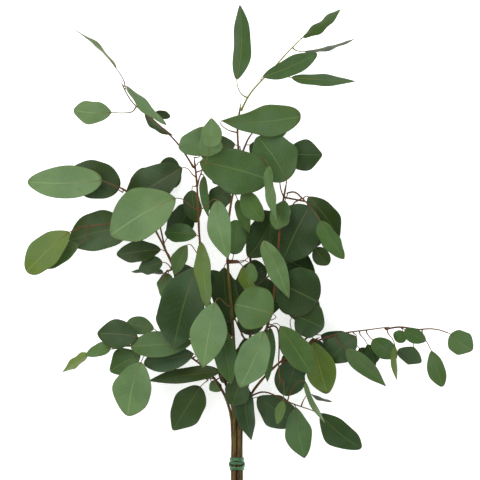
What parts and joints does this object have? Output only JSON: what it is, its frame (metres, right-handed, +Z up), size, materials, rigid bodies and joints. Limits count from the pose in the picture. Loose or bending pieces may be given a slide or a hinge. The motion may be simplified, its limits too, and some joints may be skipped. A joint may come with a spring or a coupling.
{
  "type": "tied bunch of eucalyptus foliage",
  "caption": "Tied bunch of leafy eucalyptus stems lying flat: woody stems fan out from a green band near the cut ends into broad, stalked, dull green leaves.",
  "frame": {"origin": "centre of the bounding box in X and Y, on the surface that the bunch lies on", "axes": "+Y runs along the stems from the cut ends to the tips, +Z is up from the surface towards the side that is seen, +X is to the right of a person who looks down with the tips at the top"},
  "size_m": [0.5628, 0.6392, 0.1745],
  "materials": {
    "stem_bark": "satin brown bark with olive streaks",
    "leaf_light": "matte, pale waxy bloom, pale veins",
    "leaf_mid": "matte to satin, faint bloom, pale veins",
    "leaf_dark": "satin, deep green, faint veins",
    "leaf_olive": "satin, yellow-green young leaf",
    "tie": "satin green band"
  },
  "bodies": {
    "root": {"stem_1": "stem_bark", "stem_2": "stem_bark", "stem_3": "stem_bark", "stem_4": "stem_bark", "stem_5": "stem_bark", "stem_6": "stem_bark", "stem_7": "stem_bark", "sprig_back_1": "leaf_dark", "sprig_back_2": "leaf_dark", "sprig_back_3": "leaf_dark", "sprig_back_4": "leaf_dark", "sprig_back_5": "leaf_dark", "sprig_back_6": "leaf_dark", "sprig_low_left": "leaf_mid", "sprig_low_edge": "leaf_dark", "sprig_low_right": "leaf_mid", "sprig_right_inner": "leaf_dark", "sprig_right_outer": "leaf_mid", "sprig_left_inner": "leaf_dark", "sprig_left_upper": "leaf_light", "sprig_left": "leaf_mid", "sprig_shoulder": "leaf_dark", "sprig_heart": "leaf_mid", "sprig_crown": "leaf_mid", "sprig_collar": "leaf_dark", "sprig_hanging": "leaf_olive", "sprig_top_left": "leaf_mid", "sprig_top": "leaf_mid", "leaf_low_1": "leaf_dark", "leaf_low_2": "leaf_dark", "leaf_low_3": "leaf_dark", "leaf_low_4": "leaf_dark", "leaf_low_5": "leaf_olive", "leaf_low_6": "leaf_dark", "leaf_low_7": "leaf_dark", "leaf_low_8": "leaf_mid", "leaf_left_1": "leaf_dark", "leaf_left_2": "leaf_mid", "leaf_left_3": "leaf_mid", "leaf_left_4": "leaf_light", "leaf_heart_1": "leaf_dark", "leaf_heart_2": "leaf_dark", "leaf_heart_3": "leaf_dark", "leaf_heart_4": "leaf_dark", "leaf_heart_5": "leaf_mid", "leaf_heart_6": "leaf_mid", "leaf_heart_7": "leaf_mid", "leaf_heart_8": "leaf_mid", "leaf_heart_9": "leaf_light", "leaf_heart_10": "leaf_mid", "leaf_heart_11": "leaf_mid", "leaf_heart_12": "leaf_light", "leaf_heart_13": "leaf_olive", "leaf_heart_14": "leaf_light", "leaf_heart_15": "leaf_light", "leaf_heart_16": "leaf_light", "leaf_top_1": "leaf_mid", "leaf_top_2": "leaf_light", "leaf_top_3": "leaf_light", "tie_band": "tie"}
  },
  "joints": []
}
